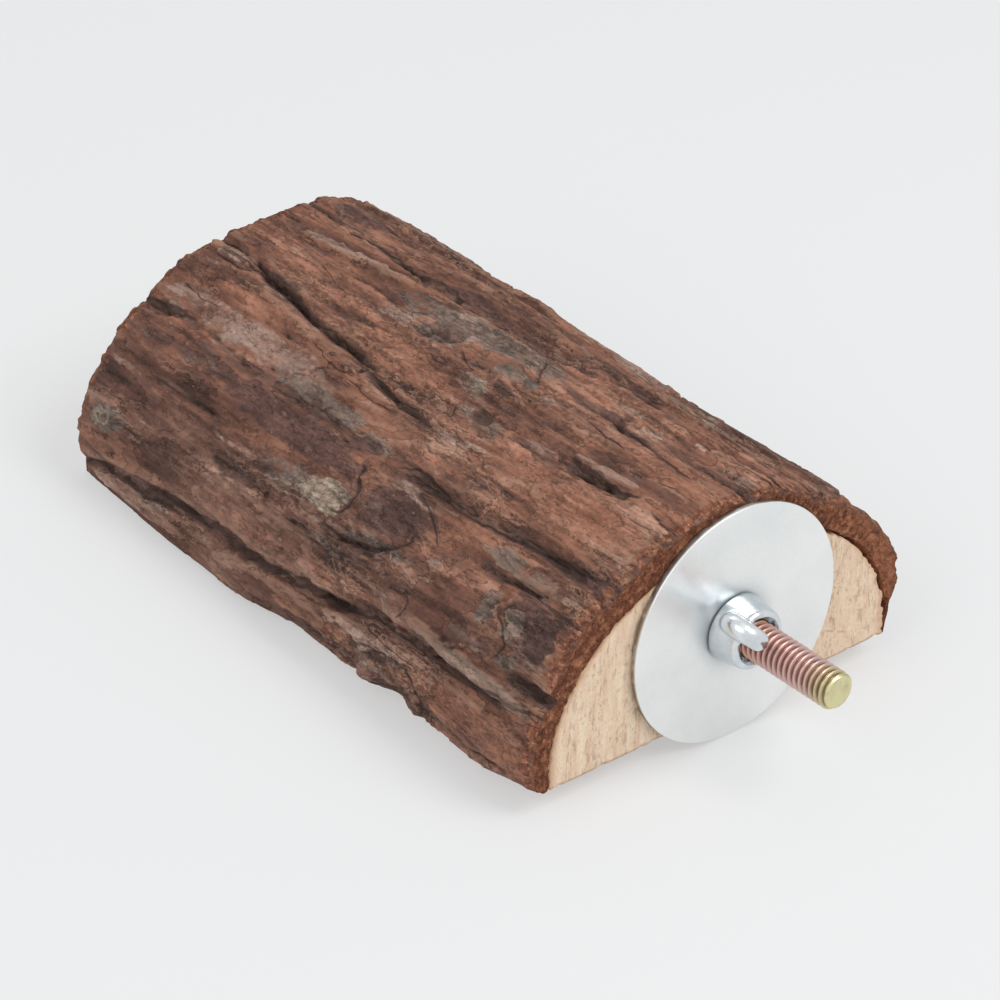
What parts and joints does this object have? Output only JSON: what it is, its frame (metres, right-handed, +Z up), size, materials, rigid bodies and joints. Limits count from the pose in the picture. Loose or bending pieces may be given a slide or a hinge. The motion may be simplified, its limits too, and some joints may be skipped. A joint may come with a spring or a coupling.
{
  "type": "bird perch",
  "caption": "Half-round log perch with its bark on, carried on a threaded stud with a wide washer and a wing nut that clamp it to a cage wall.",
  "frame": {"origin": "on the bolt axis where it leaves the log's sawn end, which is the face that bears on the cage wall", "axes": "+X out of the log along the bolt, +Y across the log, +Z up out of the bark, with the sawn face looking down"},
  "size_m": [0.1758, 0.0981, 0.0532],
  "materials": {
    "timber": "sawn, raw",
    "bark": "rough, dry, flaking",
    "yellow_zinc": "yellow passivated zinc, iridescent, satin",
    "zinc_washer": "zinc plated, satin",
    "zinc_nut": "bright zinc plated"
  },
  "bodies": {
    "perch": {"half_log": "timber", "bark": "bark", "hanger_bolt": "yellow_zinc"},
    "washer": {"washer": "zinc_washer"},
    "wing_nut": {"wing_nut": "zinc_nut"}
  },
  "joints": [
    {"name": "washer_slide", "type": "slide", "parent": "perch", "child": "washer", "axis": [1, 0, 0], "range_m": [0, 0.02681]},
    {"name": "nut_turn", "type": "hinge", "parent": "washer", "child": "wing_nut", "pos_m": [0, 0, 0], "axis": [1, 0, 0], "range_deg": [0, 6840]}
  ],
  "couplings": [
    {"joint": "nut_turn", "follows": "washer_slide", "rad_per_m": 4452.7}
  ]
}
